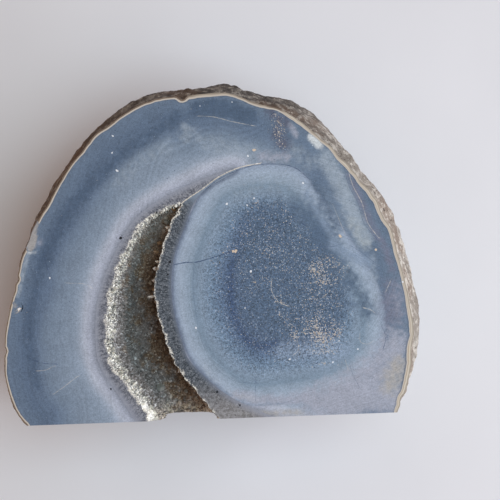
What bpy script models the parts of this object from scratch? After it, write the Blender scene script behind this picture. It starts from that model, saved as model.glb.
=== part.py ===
"""Agate nodule sawn twice, lying on its natural back with the sawn face up.

Two solids: the stone with its rind, sawn face, sawn base and crescent pocket,
and the crust of quartz crystals that lines the pocket and leaves a hollow.
The outlines below are in millimetres. +X runs along the sawn base edge, +Y
from the base towards the crown, +Z out of the sawn face. The origin is under
the middle of the stone, on the surface that it rests on.
"""

import math
import random

import bmesh
import bpy
from mathutils import Vector, noise

MM = 0.001
SEED = 7

# Whole stone
FACE_Z = 40.0
BASE_Y = -42.5
CENTRE = (-0.2, -9.0)
RINGS_TO_WIDEST = 5
RINGS_TO_BACK = 16
OUTLINE_STEPS = 108

# Edge of the sawn face, clockwise from the left end of the base. The last five
# points close the nodule below the base, where the second cut takes it away.
FACE_EDGE = [
    (-47.7, -42.2), (-51.6, -34.2), (-52.4, -22.6), (-50.3, -11.4), (-47.2, -3.5),
    (-44.3, 5.9), (-39.8, 12.9), (-34.8, 21.0), (-28.6, 28.4), (-20.2, 34.6),
    (-12.5, 38.0), (-5.3, 38.6), (5.0, 38.8), (12.4, 36.2), (19.1, 34.1),
    (25.9, 29.3), (33.1, 21.8), (40.3, 12.8), (44.5, 5.2), (47.2, -4.5),
    (49.1, -14.5), (50.0, -24.6), (48.4, -33.3), (46.3, -39.6),
    (42.6, -46.6), (32.6, -55.6), (10.6, -61.1), (-14.4, -60.1), (-35.4, -53.6),
]

# How far the wall stands out past the face, every 30 degrees from +X to +Y and on
BULGE = [3.3, 3.0, 4.3, 2.5, 1.8, 1.5, 0.5, 0.3, 1.0, 1.0, 0.6, 0.3]
WIDEST_DEPTH_LEAST = 3.5
WIDEST_DEPTH_PER_BULGE = 1.8

# The domed back would end below the resting plane and is worn flat there
BACK_OVERRUN = 2.4
BACK_SQUARENESS = 2.5

# Relief of the rind: feature size and height of each layer of lumps, and where
# in the noise it is read
RELIEF_OFFSET = (-1.1, 0.0, 0.0)
LUMPS = [(21.0, 2.0), (8.5, 1.4), (4.5, 0.8)]
LUMPS_FULL_DEPTH = 22.0
RIM_RELIEF = 0.1
LEDGE_SPREAD = 40.0
LEDGE_SPACING = 3.6
LEDGE_HEIGHT = 0.55
LEDGE_SHARPNESS = 6.0
PIT_SPACING = 10.0
PIT_DEPTH = 1.5
PIT_RADIUS = 0.3

# Crescent pocket on the sawn face, from its tip under the crown to below the
# base. OUT bounds the crust of quartz, IN bounds the hollow that it leaves.
LEFT_OUT = [
    (6.8, 20.0), (-5.6, 15.9), (-17.9, 8.8), (-25.0, -2.2),
    (-28.7, -11.8), (-29.6, -22.2), (-28.5, -28.6), (-23.8, -36.6), (-17.4, -47.1),
]
RIGHT_OUT = [
    (7.2, 19.2), (-2.3, 13.6), (-6.5, 5.2), (-9.5, -2.9),
    (-10.1, -12.4), (-8.0, -22.7), (-5.2, -29.1), (5.6, -38.3), (25.6, -47.1),
]
LEFT_IN = [
    (-7.3, 11.9), (-15.9, 7.8), (-22.8, -2.4), (-25.9, -11.8),
    (-26.9, -22.3), (-25.5, -28.6), (-19.7, -36.8), (-15.4, -47.1),
]
RIGHT_IN = [
    (-6.9, 11.3), (-9.6, 6.8), (-13.2, -2.9), (-14.3, -12.2),
    (-12.0, -22.6), (-9.6, -29.0), (-3.5, -37.3), (4.5, -47.1),
]
CRUST_DEPTH = [1.0, 3.5, 8.0, 12.5, 15.5, 16.8, 17.0, 17.3, 17.6]
HOLLOW_DEPTH = [2.0, 6.0, 10.0, 13.0, 14.2, 14.4, 14.8, 15.0]
CRUST_LEAN = [0.0, 0.2, 1.0, 2.2, 3.0, 2.4, 1.2, -1.5, -4.0]
HOLLOW_LEAN = [0.2, 1.0, 2.0, 3.0, 2.4, 1.2, -0.4, -1.0]
SECTION_SQUARENESS = 0.62

# The hollow's left wall slopes in by BENCH down to BENCH_DEPTH
CRUST_BENCH = [0.0, 0.0]
HOLLOW_BENCH = [0.3, 1.2, 2.2, 2.8, 3.0, 3.6, 4.4, 4.6]
BENCH_DEPTH = 4.5
POCKET_GAP = 0.3
CUT_CLEAR = 4.0
CRUST_STEPS = 28
CRUST_ROWS = 10

# Crystals on the hollow's wall, one on each cell of an uneven net
CRYSTAL_STEPS = 42
CRYSTAL_ROWS = 17
CRYSTAL_SPREAD = 0.3
CRYSTAL_HEIGHT = (0.4, 1.3)
TALL_SHARE = 0.12
TALL_HEIGHT = (1.5, 2.3)
FULL_CELL_AREA = 2.2
RIM_RISE = 1.7

CRUST_FORM = (LEFT_OUT, RIGHT_OUT, CRUST_DEPTH, CRUST_LEAN, CRUST_BENCH)
HOLLOW_FORM = (LEFT_IN, RIGHT_IN, HOLLOW_DEPTH, HOLLOW_LEAN, HOLLOW_BENCH)


def clear_scene():
    for item in list(bpy.data.objects):
        bpy.data.objects.remove(item)


def curve_point(points, t, closed=False):
    """Point at t, from 0 to 1, on the smooth curve through points."""
    count = len(points)
    spans = count if closed else count - 1
    place = min(max(t, 0.0), 1.0) * spans
    first = min(int(place), spans - 1)
    u = place - first
    near = []
    for index in range(first - 1, first + 3):
        index = index % count if closed else min(max(index, 0), count - 1)
        near.append(Vector(points[index]))
    before, start, end, after = near
    return 0.5 * (
        2.0 * start
        + (end - before) * u
        + (2.0 * before - 5.0 * start + 4.0 * end - after) * u**2
        + (3.0 * start - before - 3.0 * end + after) * u**3
    )


def curve_value(values, t, closed=False):
    return curve_point([(value, 0.0) for value in values], t, closed).x


def wall_point(edge, ring):
    """Point of the uncut nodule's wall on one ring, under one point of the face edge."""
    centre = Vector(CENTRE)
    outward = edge - centre
    around = math.atan2(outward.y, outward.x) / math.tau % 1.0
    bulge = curve_value(BULGE, around, closed=True)
    widest = edge + outward.normalized() * bulge
    widest_depth = WIDEST_DEPTH_LEAST + WIDEST_DEPTH_PER_BULGE * bulge
    if ring <= RINGS_TO_WIDEST:
        step = ring / RINGS_TO_WIDEST
        flat = edge.lerp(widest, math.sin(step * math.pi / 2))
        depth = widest_depth * step
    else:
        turn = (ring - RINGS_TO_WIDEST) / RINGS_TO_BACK * math.pi / 2
        power = 2.0 / BACK_SQUARENESS
        flat = centre.lerp(widest, math.cos(turn) ** power)
        depth = widest_depth + (FACE_Z + BACK_OVERRUN - widest_depth) * math.sin(turn) ** power
    return Vector((flat.x, flat.y, FACE_Z - depth))


def rind_relief(point):
    """How far the rind stands out at a point of the wall: lumps, ledges and pits."""
    fade = min(1.0, (FACE_Z - point.z) / LUMPS_FULL_DEPTH)
    point = point + Vector(RELIEF_OFFSET)
    lumps = sum(noise.noise(point / size) * height for size, height in LUMPS)
    layer = Vector((point.x / LEDGE_SPREAD, point.y / LEDGE_SPREAD, point.z / LEDGE_SPACING))
    ledge = min(1.0, max(-1.0, noise.noise(layer) * LEDGE_SHARPNESS))
    distance = noise.voronoi(point / PIT_SPACING)[0][0]
    pit = max(0.0, 1.0 - distance / PIT_RADIUS)
    relief = lumps + LEDGE_HEIGHT * ledge - PIT_DEPTH * pit
    return relief * (RIM_RELIEF + (1.0 - RIM_RELIEF) * fade)


def nodule_mesh():
    """The nodule with its face already flat, before the base and pocket are cut."""
    mesh = bmesh.new()
    middle = Vector((*CENTRE, FACE_Z / 2))
    rings = []
    for ring in range(RINGS_TO_WIDEST + RINGS_TO_BACK):
        loop = []
        for step in range(OUTLINE_STEPS):
            edge = curve_point(FACE_EDGE, step / OUTLINE_STEPS, closed=True)
            point = wall_point(edge, ring)
            outward = point - middle
            if ring == 0:
                outward.z = 0.0
            point += outward.normalized() * rind_relief(point)
            point.z = max(point.z, 0.0)
            loop.append(mesh.verts.new(point * MM))
        rings.append(loop)
    pole = mesh.verts.new(Vector((*CENTRE, 0.0)) * MM)
    mesh.faces.new(rings[0])
    for upper, lower in zip(rings, rings[1:]):
        for i in range(OUTLINE_STEPS):
            j = (i + 1) % OUTLINE_STEPS
            mesh.faces.new((upper[i], lower[i], lower[j], upper[j]))
    for i in range(OUTLINE_STEPS):
        mesh.faces.new((rings[-1][i], pole, rings[-1][(i + 1) % OUTLINE_STEPS]))
    bmesh.ops.recalc_face_normals(mesh, faces=mesh.faces)
    return mesh


def saw_base(mesh):
    """Cuts away everything beyond the base plane and closes the cut."""
    cut = bmesh.ops.bisect_plane(
        mesh,
        geom=mesh.verts[:] + mesh.edges[:] + mesh.faces[:],
        plane_co=(0.0, BASE_Y * MM, 0.0),
        plane_no=(0.0, -1.0, 0.0),
        clear_outer=True,
    )
    rim = [item for item in cut["geom_cut"] if isinstance(item, bmesh.types.BMEdge)]
    bmesh.ops.holes_fill(mesh, edges=rim)
    bmesh.ops.recalc_face_normals(mesh, faces=mesh.faces)


def section_point(t, share, form, grow):
    """Point of the trough at t along the crescent and share across, left to right."""
    left_side, right_side, depths, leans, benches = form
    left = curve_point(left_side, t)
    right = curve_point(right_side, t)
    across = (right - left).normalized()
    left -= across * grow
    right += across * grow
    turn = share * math.pi
    spread = math.copysign(abs(math.cos(turn)) ** SECTION_SQUARENESS, math.cos(turn))
    sink = math.sin(turn) ** SECTION_SQUARENESS if 0.0 < share < 1.0 else 0.0
    depth = (curve_value(depths, t) + grow) * sink
    slope = min(1.0, depth / BENCH_DEPTH) * max(0.0, 1.0 - 2.0 * share)
    shift = curve_value(leans, t) * sink + curve_value(benches, t) * slope
    flat = left.lerp(right, 0.5 - 0.5 * spread) + across * shift
    return Vector((flat.x, flat.y, FACE_Z - depth))


def trough_mesh(steps, rows, rise, form, grow=0.0):
    """Closed trough along the crescent, going on upwards by rise, and its wall's faces."""
    mesh = bmesh.new()
    loops = []
    for step in range(steps + 1):
        t = step / steps
        loop = [section_point(t, row / rows, form, grow) for row in range(rows + 1)]
        if rise:
            up = Vector((0.0, 0.0, rise))
            loop = [loop[0] + up, *loop, loop[-1] + up]
        loops.append([mesh.verts.new(point * MM) for point in loop])
    wall = []
    for near, far in zip(loops, loops[1:]):
        for i in range(len(near) - 1):
            wall.append(mesh.faces.new((near[i], near[i + 1], far[i + 1], far[i])))
        mesh.faces.new((near[-1], near[0], far[0], far[-1]))
    mesh.faces.new(loops[0])
    mesh.faces.new(loops[-1])
    bmesh.ops.recalc_face_normals(mesh, faces=mesh.faces)
    return mesh, wall


def grow_crystals(mesh, wall):
    """Makes the net of the hollow's wall uneven, and each of its cells a crystal point."""
    chance = random.Random(SEED)
    cells = set(wall)
    for corner in mesh.verts:
        edges = corner.link_edges
        if cells.issuperset(corner.link_faces) and len(edges) == 4:
            toward = chance.choice(edges).other_vert(corner).co
            corner.co = corner.co.lerp(toward, chance.uniform(0.0, CRYSTAL_SPREAD))
    mesh.normal_update()
    for face in wall:
        normal = face.normal.copy()
        room = min(1.0, face.calc_area() / MM**2 / FULL_CELL_AREA)
        range_of_height = TALL_HEIGHT if chance.random() < TALL_SHARE else CRYSTAL_HEIGHT
        toward = chance.choice(face.verts).co.copy()
        tip = bmesh.ops.poke(mesh, faces=[face])["verts"][0]
        tip.co = tip.co.lerp(toward, chance.uniform(0.0, CRYSTAL_SPREAD))
        tip.co -= normal * chance.uniform(*range_of_height) * room * MM


def add_object(name, mesh, color, roughness):
    data = bpy.data.meshes.new(name)
    bmesh.ops.triangulate(mesh, faces=mesh.faces)
    mesh.to_mesh(data)
    mesh.free()
    item = bpy.data.objects.new(name, data)
    bpy.context.collection.objects.link(item)
    material = bpy.data.materials.new(name)
    material.use_nodes = True
    shader = material.node_tree.nodes["Principled BSDF"]
    shader.inputs["Base Color"].default_value = (*color, 1.0)
    shader.inputs["Roughness"].default_value = roughness
    shader.inputs["Metallic"].default_value = 0.0
    data.materials.append(material)
    return item


def cut_with(item, name, mesh):
    """Takes a closed mesh away from an object, and leaves it as a hidden cutter."""
    cutter = add_object(name, mesh, (0.5, 0.5, 0.5), 0.5)
    cutter.hide_render = True
    cutter.display_type = "WIRE"
    modifier = item.modifiers.new(name, "BOOLEAN")
    modifier.operation = "DIFFERENCE"
    modifier.solver = "EXACT"
    modifier.object = cutter


def build_agate():
    mesh = nodule_mesh()
    saw_base(mesh)
    agate = add_object("agate", mesh, (0.15, 0.21, 0.33), 0.4)
    pocket, _ = trough_mesh(CRUST_STEPS, CRUST_ROWS, CUT_CLEAR, CRUST_FORM, POCKET_GAP)
    cut_with(agate, "pocket_cutter", pocket)


def build_crust():
    mesh, _ = trough_mesh(CRUST_STEPS, CRUST_ROWS, 0.0, CRUST_FORM)
    saw_base(mesh)
    crust = add_object("crystal_crust", mesh, (0.33, 0.30, 0.27), 0.3)
    hollow, wall = trough_mesh(CRYSTAL_STEPS, CRYSTAL_ROWS, RIM_RISE, HOLLOW_FORM)
    grow_crystals(hollow, wall)
    cut_with(crust, "hollow_cutter", hollow)


clear_scene()
build_agate()
build_crust()
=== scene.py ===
import math

import bmesh
import bpy
import numpy as np
from mathutils import Matrix, Vector, noise
from mathutils.bvhtree import BVHTree


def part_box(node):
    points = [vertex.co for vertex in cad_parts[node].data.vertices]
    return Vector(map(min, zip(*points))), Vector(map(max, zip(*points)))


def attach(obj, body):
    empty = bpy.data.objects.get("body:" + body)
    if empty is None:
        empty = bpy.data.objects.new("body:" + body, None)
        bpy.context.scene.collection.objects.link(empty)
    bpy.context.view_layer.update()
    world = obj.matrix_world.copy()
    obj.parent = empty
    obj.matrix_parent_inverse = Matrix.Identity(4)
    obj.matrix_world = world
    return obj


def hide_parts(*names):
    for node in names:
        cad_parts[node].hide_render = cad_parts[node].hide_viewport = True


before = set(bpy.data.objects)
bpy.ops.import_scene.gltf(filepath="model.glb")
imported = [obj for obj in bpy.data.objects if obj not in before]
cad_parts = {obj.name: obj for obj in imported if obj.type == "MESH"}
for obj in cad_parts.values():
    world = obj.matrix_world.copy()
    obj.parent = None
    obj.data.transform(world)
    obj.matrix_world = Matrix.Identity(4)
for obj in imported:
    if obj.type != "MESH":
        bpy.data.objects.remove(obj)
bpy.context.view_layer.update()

mm = 0.001
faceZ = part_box("agate")[1].z / mm
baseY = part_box("agate")[0].y / mm
onPlane = 0.003  # points this near to the sawn base, in millimetres, lie on it

# Places on the sawn face are noted in the photograph's pixels, and turned into millimetres here
photo = {
    "size": 500,
    "mmPerPixel": 0.25,
    "turn": math.atan2(13.0, 360.0),
    "axis": (9.85, -0.6),
    "cameraHeight": 300.0,
}


def facePoint(x, y):
    across = (x - photo["size"] / 2) * photo["mmPerPixel"]
    up = (photo["size"] / 2 - y) * photo["mmPerPixel"]
    turnCos, turnSin = math.cos(photo["turn"]), math.sin(photo["turn"])
    return Vector((
        turnCos * across + turnSin * up + photo["axis"][0],
        turnCos * up - turnSin * across + photo["axis"][1],
    ))


def photoPlaces(spots):
    # the other way round, for arrays of points in millimetres
    right, up = spots[:, 0] - photo["axis"][0], spots[:, 1] - photo["axis"][1]
    turnCos, turnSin = math.cos(photo["turn"]), math.sin(photo["turn"])
    x = photo["size"] / 2 + (turnCos * right - turnSin * up) / photo["mmPerPixel"]
    y = photo["size"] / 2 - (turnSin * right + turnCos * up) / photo["mmPerPixel"]
    return np.stack([x, y], 1)


# Shader maths: a Link wraps one socket, so that 1 - mask adds a Math node

class Link:
    def __init__(self, tree, socket=None):
        self.tree = tree
        self.socket = socket

    def node(self, kind, settings=None, inputs=None, output=0):
        made = self.tree.nodes.new(kind)
        for name, value in (settings or {}).items():
            if name == "stops":
                fillRamp(made.color_ramp, value)
            else:
                setattr(made, name, value)
        for name, value in (inputs or {}).items():
            if isinstance(value, Link):
                self.tree.links.new(value.socket, made.inputs[name])
            else:
                made.inputs[name].default_value = value
        return Link(self.tree, made.outputs[output]) if len(made.outputs) else Link(self.tree)

    def math(self, operation, *values):
        return self.node("ShaderNodeMath", {"operation": operation}, dict(enumerate(values)))

    def __add__(self, other):
        return self.math("ADD", self, other)

    def __sub__(self, other):
        return self.math("SUBTRACT", self, other)

    def __rsub__(self, other):
        return self.math("SUBTRACT", other, self)

    def __mul__(self, other):
        return self.math("MULTIPLY", self, other)

    def __truediv__(self, other):
        return self.math("DIVIDE", self, other)

    __radd__ = __add__
    __rmul__ = __mul__

    def rise(self, low, high):
        # 0 below low, 1 above high, smooth between; low may be the larger one
        return self.node(
            "ShaderNodeMapRange", {"interpolation_type": "SMOOTHSTEP"},
            {0: self, 1: low, 2: high},
        )

    def line(self, middle, width):
        # 1 on a thin line at middle, 0 further than width from it
        return self.math("ABSOLUTE", self - middle).rise(width, width * 0.3)

    def ramp(self, span, stops):
        # colours by this value, with stops in its own units from 0 to span
        scaled = [(place / span, tint(*seen)) for place, seen in stops]
        return self.node("ShaderNodeValToRGB", {"stops": scaled}, {0: self / span})

    def mix(self, below, above):
        return self.node("ShaderNodeMix", {"data_type": "RGBA"}, {0: self, 6: below, 7: above}, 2)

    def over(self, colour, *seen):
        # lays a colour, given as the photograph shows it, over another
        return self.mix(colour, tint(*seen))


def fillRamp(ramp, stops):
    while len(ramp.elements) < len(stops):
        ramp.elements.new(1.0)
    for element, (place, colour) in zip(ramp.elements, stops):
        element.position = place
        element.color = colour


def tint(red, green, blue):
    # a colour as the photograph shows it, less its light and sheen, for a surface's own colour
    seen = [((part / 255 + 0.055) / 1.055) ** 2.4 - studio["sheen"] for part in (red, green, blue)]
    return (*[max(part, 0.004) / light for part, light in zip(seen, studio["faceLight"])], 1.0)


def newMaterial(name, roughness, specular=0.5):
    material = bpy.data.materials.new(name)
    material.use_nodes = True
    shader = material.node_tree.nodes["Principled BSDF"]
    shader.inputs["Roughness"].default_value = roughness
    shader.inputs["Specular IOR Level"].default_value = specular
    return material, shader, Link(material.node_tree)


def places(link):
    return link.node("ShaderNodeTexCoord", output="Object")


def acrossOf(link):
    return link.node("ShaderNodeSeparateXYZ", {}, {0: places(link)}, 0)


def upOf(link):
    # up the sawn face, from the sawn base
    return link.node("ShaderNodeSeparateXYZ", {}, {0: places(link)}, 1)


def heightOf(link):
    return link.node("ShaderNodeSeparateXYZ", {}, {0: places(link)}, 2)


def grain(link, size, detail=2.0, offset=(0.0, 0.0, 0.0), stretch=(1.0, 1.0, 1.0)):
    # soft noise about 0 to 1, with lumps of the given size in millimetres
    place = link.node(
        "ShaderNodeMapping", {},
        {"Vector": places(link), "Location": offset, "Scale": stretch},
    )
    return link.node(
        "ShaderNodeTexNoise", {}, {"Vector": place, "Scale": 1.0 / (size * mm), "Detail": detail},
    )


def specks(link, size, share, edge=0.35):
    # round dots, each in its own cell, of which only a share are there
    settings = {"feature": "F1"}
    inputs = {"Vector": places(link), "Scale": 1.0 / (size * mm)}
    near = link.node("ShaderNodeTexVoronoi", settings, inputs, "Distance")
    chance = link.node("ShaderNodeTexVoronoi", settings, inputs, "Color")
    chance = link.node("ShaderNodeSeparateColor", {}, {0: chance})
    return near.rise(edge, edge * 0.5) * chance.rise(1.0 - share, 1.0 - share + 0.02)


def valueOf(link, name):
    return link.node("ShaderNodeAttribute", {"attribute_name": name}, output="Fac")


def bumped(link, height, strength, distance):
    inputs = {"Height": height, "Strength": strength, "Distance": distance * mm}
    return link.node("ShaderNodeBump", {}, inputs)


def plug(link, shader, name, value):
    link.tree.links.new(value.socket, shader.inputs[name])


# Modelling helpers

def clearSelection():
    if bpy.context.object and bpy.context.object.mode != "OBJECT":
        bpy.ops.object.mode_set(mode="OBJECT")
    bpy.ops.object.select_all(action="DESELECT")


def makeActive(piece):
    clearSelection()
    piece.select_set(True)
    bpy.context.view_layer.objects.active = piece


def newGrid(name, columns, rows):
    clearSelection()
    bpy.ops.mesh.primitive_grid_add(x_subdivisions=columns, y_subdivisions=rows, size=2.0)
    piece = bpy.context.object
    piece.name = name
    return piece


def pointsOf(piece):
    spots = np.empty(len(piece.data.vertices) * 3)
    piece.data.vertices.foreach_get("co", spots)
    return spots.reshape(-1, 3)


def placePoints(piece, spots):
    piece.data.vertices.foreach_set("co", np.asarray(spots, float).ravel())
    piece.data.update()


def cutAway(piece, cutter):
    makeActive(piece)
    modifier = piece.modifiers.new("cut", "BOOLEAN")
    modifier.operation = "DIFFERENCE"
    modifier.solver = "MANIFOLD"
    modifier.object = cutter
    bpy.ops.object.modifier_apply(modifier=modifier.name)
    cutterMesh = cutter.data
    bpy.data.objects.remove(cutter)
    bpy.data.meshes.remove(cutterMesh)


def sawBase(piece):
    makeActive(piece)
    bpy.ops.object.mode_set(mode="EDIT")
    bpy.ops.mesh.select_all(action="SELECT")
    bpy.ops.mesh.bisect(
        plane_co=(0.0, baseY * mm, 0.0), plane_no=(0.0, -1.0, 0.0), threshold=0.0,
        use_fill=True, clear_outer=True,
    )
    bpy.ops.object.mode_set(mode="OBJECT")


def netSawnBase(piece, spacing):
    # the sawn base gets a net of edges, so that values on its points can vary across it
    mesh = bmesh.new()
    mesh.from_mesh(piece.data)
    flat = [
        face for face in mesh.faces
        if all(abs(corner.co.y - baseY * mm) < onPlane * mm for corner in face.verts)
    ]
    spots = [corner.co for face in flat for corner in face.verts]
    for axis in (0, 2):
        low, high = min(spot[axis] for spot in spots), max(spot[axis] for spot in spots)
        steps = int((high - low) / (spacing * mm))
        normal = Vector([float(axis == other) for other in range(3)])
        for step in range(1, steps):
            flat = [face for face in flat if face.is_valid]
            edges = {edge for face in flat for edge in face.edges}
            corners = {corner for face in flat for corner in face.verts}
            cut = bmesh.ops.bisect_plane(
                mesh, geom=[*flat, *edges, *corners],
                plane_co=normal * (low + step * (high - low) / steps), plane_no=normal,
            )
            flat = [item for item in cut["geom"] if isinstance(item, bmesh.types.BMFace)]
    mesh.to_mesh(piece.data)
    mesh.free()


def smoothBelow(piece, degrees):
    makeActive(piece)
    bpy.ops.object.shade_smooth_by_angle(angle=math.radians(degrees))


def treeOf(piece, keep=None):
    mesh = piece.data
    polygons = [tuple(face.vertices) for face in mesh.polygons if keep is None or keep(face)]
    return BVHTree.FromPolygons([corner.co / mm for corner in mesh.vertices], polygons)


def distancesTo(tree, spots):
    return np.array([tree.find_nearest(Vector(spot))[3] for spot in spots])


def keepValues(piece, name, values):
    attribute = piece.data.attributes.new(name, "FLOAT", "POINT")
    attribute.data.foreach_set("value", np.asarray(values, np.float32))


def materialCounts(piece):
    numbers = [face.material_index for face in piece.data.polygons]
    return [numbers.count(number) for number in range(len(piece.data.materials))]


def curveThrough(points, shares, closed=False):
    # points at shares, from 0 to 1, along the smooth curve through points
    points = np.array(points, float)
    points = points.reshape(len(points), -1)
    count = len(points)
    spans = count if closed else count - 1
    place = np.clip(np.asarray(shares, float), 0.0, 1.0) * spans
    first = np.minimum(place.astype(int), spans - 1)
    u = (place - first)[:, None]
    near = []
    for offset in (-1, 0, 1, 2):
        index = first + offset
        index = index % count if closed else np.clip(index, 0, count - 1)
        near.append(points[index])
    before, start, end, after = near
    return 0.5 * (
        2 * start + (end - before) * u
        + (2 * before - 5 * start + 4 * end - after) * u**2
        + (3 * start - before - 3 * end + after) * u**3
    )


# Studio and camera

studio = {
    "faceLight": (0.85, 0.85, 0.88),
    "sheen": 0.014,
    "worldColour": (0.306, 0.178, 0.120),
    "floorSize": 3.0,
    "tableColours": ((0.79, 0.79, 0.80, 1.0), (0.82, 0.82, 0.83, 1.0)),
    # soft window light from the right and a weaker one from above: direction in degrees,
    # distance and size in metres, power in watts for each colour
    "lamps": {
        "windowLight": {
            "turn": -6, "rise": 22, "away": 1.1, "size": (1.5, 0.5), "watts": (11.2, 11.3, 12.8),
        },
        "ceilingLight": {"turn": 0, "rise": 70, "away": 1.2, "size": (1.0, 1.0), "watts": (5.0, 7.0, 8.0)},
    },
}


def buildCamera():
    data = bpy.data.cameras.new("camera")
    camera = bpy.data.objects.new("camera", data)
    bpy.context.scene.collection.objects.link(camera)
    camera.location = Vector((*photo["axis"], faceZ + photo["cameraHeight"])) * mm
    camera.rotation_euler = (0.0, 0.0, -photo["turn"])
    field = photo["size"] * photo["mmPerPixel"]
    data.lens = data.sensor_width * photo["cameraHeight"] / field
    bpy.context.scene.camera = camera


def buildLamp(name, values):
    turn, rise = math.radians(values["turn"]), math.radians(values["rise"])
    towards = Vector((math.cos(rise) * math.cos(turn), math.cos(rise) * math.sin(turn), math.sin(rise)))
    data = bpy.data.lights.new(name, "AREA")
    data.shape = "RECTANGLE"
    data.size, data.size_y = values["size"]
    data.energy = max(values["watts"])
    data.color = [part / data.energy for part in values["watts"]]
    lamp = bpy.data.objects.new(name, data)
    bpy.context.scene.collection.objects.link(lamp)
    lamp.location = towards * values["away"]
    lamp.rotation_euler = towards.to_track_quat("Z", "Y").to_euler()


def buildStudio():
    clearSelection()
    bpy.ops.mesh.primitive_plane_add(size=studio["floorSize"])
    floor = bpy.context.object
    floor.name = "table"
    material, shader, link = newMaterial("paleTable", 0.6, 0.3)
    cloudy = grain(link, 60.0, 3.0).rise(0.3, 0.7)
    plug(link, shader, "Base Color", cloudy.mix(*studio["tableColours"]))
    floor.data.materials.append(material)
    for name, values in studio["lamps"].items():
        buildLamp(name, values)
    world = bpy.data.worlds.new("softRoom")
    world.use_nodes = True
    background = world.node_tree.nodes["Background"]
    background.inputs["Color"].default_value = (*studio["worldColour"], 1.0)
    background.inputs["Strength"].default_value = 1.0
    bpy.context.scene.world = world
    bpy.context.scene.view_settings.view_transform = "Standard"


# Stone

stone = {
    # points around the stone, and rings of them over the face, down the wall and over the back
    "segments": 448,
    "faceRings": 96,
    "wallRings": 12,
    "backRings": 64,
    "ringDrop": 0.02,  # the least that each ring lies below the face, times its number
    "baseNet": 1.0,  # spacing of the points on the sawn base
    "smoothAngle": 35,
    "centre": (-0.2, -9.0),
    "faceEdge": [
        (-47.7, -42.2), (-51.6, -34.2), (-52.4, -22.6), (-50.3, -11.4), (-47.2, -3.5),
        (-44.3, 5.9), (-39.8, 12.9), (-34.8, 21.0), (-28.6, 28.4), (-20.2, 34.6),
        (-12.5, 38.0), (-5.3, 38.6), (5.0, 38.8), (12.4, 36.2), (19.1, 34.1),
        (25.9, 29.3), (33.1, 21.8), (40.3, 12.8), (44.5, 5.2), (47.2, -4.5),
        (49.1, -14.5), (50.0, -24.6), (48.4, -33.3), (46.3, -39.6),
        (42.6, -46.6), (32.6, -55.6), (10.6, -61.1), (-14.4, -60.1), (-35.4, -53.6),
    ],
    "bulge": [3.3, 3.0, 4.3, 2.5, 1.8, 1.5, 0.5, 0.3, 1.0, 1.0, 0.6, 0.3],  # every 30 degrees from +X
    "widestDepth": (3.5, 1.8),  # least, and more for each millimetre of bulge
    "backOverrun": 2.4,
    "backSquareness": 2.5,
    "reliefOffset": (-1.1, 0.0, 0.0),
    "lumps": [(21.0, 2.0), (8.5, 1.4), (4.5, 0.8)],
    "fineLumps": [(2.4, 0.42), (1.2, 0.22)],
    "lumpsFullDepth": 22.0,
    "fineFullDepth": 3.0,
    "rimRelief": 0.1,  # share of the coarse relief that is left at the face edge
    "rimFine": 0.25,  # and of the fine relief
    "nickReach": 4.0,  # how far below the face the nicks end
    "ledges": (40.0, 3.6, 0.55, 6.0),  # spread, spacing, height, sharpness
    "pits": (10.0, 1.5, 0.3),  # spacing, depth, radius as a share of the spacing
    # nicks in the rim, and bumps where the depth is under 0: photo pixel, radius and depth in millimetres
    "nicks": [
        ((182, 97), 1.3, 0.9), ((190, 82), 3.0, -1.0), ((16, 308), 1.5, 1.5), ((4, 352), 1.0, 0.5),
        ((22, 266), 6.5, -0.9), ((17, 280), 1.0, 0.5), ((404, 400), 1.5, 0.5), ((62, 157), 0.9, 0.3),
        ((408, 330), 1.2, 0.5), ((340, 138), 4.5, -0.9), ((358, 154), 4.5, -1.2), ((366, 178), 2.2, 0.6),
        ((404, 243), 1.6, -0.4), ((238, 84), 2.5, -0.4), ((93, 131), 3.0, -0.4), ((420, 350), 4.0, 0.7),
        ((392, 210), 4.0, 0.8),
    ],
}

# Crescent pocket: the out lists bound the crust, and the in lists the hollow in it
pocket = {
    "leftOut": [
        (6.8, 20.0), (-5.6, 15.9), (-17.9, 8.8), (-25.0, -2.2),
        (-28.7, -11.8), (-29.6, -22.2), (-28.5, -28.6), (-23.8, -36.6), (-17.4, -47.1),
    ],
    "rightOut": [
        (7.2, 19.2), (-2.3, 13.6), (-6.5, 5.2), (-9.5, -2.9),
        (-10.1, -12.4), (-8.0, -22.7), (-5.2, -29.1), (5.6, -38.3), (25.6, -47.1),
    ],
    "leftIn": [
        (-7.3, 11.9), (-15.9, 7.8), (-22.8, -2.4), (-25.9, -11.8),
        (-26.9, -22.3), (-25.5, -28.6), (-19.7, -36.8), (-15.4, -47.1),
    ],
    "rightIn": [
        (-6.9, 11.3), (-9.6, 6.8), (-13.2, -2.9), (-14.3, -12.2),
        (-12.0, -22.6), (-9.6, -29.0), (-3.5, -37.3), (4.5, -47.1),
    ],
    "outDepth": [1.0, 3.5, 8.0, 12.5, 15.5, 16.8, 17.0, 17.3, 17.6],
    "inDepth": [2.0, 6.0, 10.0, 13.0, 14.2, 14.4, 14.8, 15.0],
    "outLean": [0.0, 0.2, 1.0, 2.2, 3.0, 2.4, 1.2, -1.5, -4.0],
    "inLean": [0.2, 1.0, 2.0, 3.0, 2.4, 1.2, -0.4, -1.0],
    "outBench": [0.0, 0.0],
    "inBench": [0.3, 1.2, 2.2, 2.8, 3.0, 3.6, 4.4, 4.6],  # the left wall slopes in so far
    "benchDepth": 4.5,
    "squareness": 0.62,  # under 1, the trough is fuller than round
    "gap": 0.02,  # room between the stone and the crust
    "clear": 4.0,  # how far the cutters stand above the face
    "net": (90, 30),  # points along and across
    "merge": 0.002,  # points nearer than this become one
}


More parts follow.
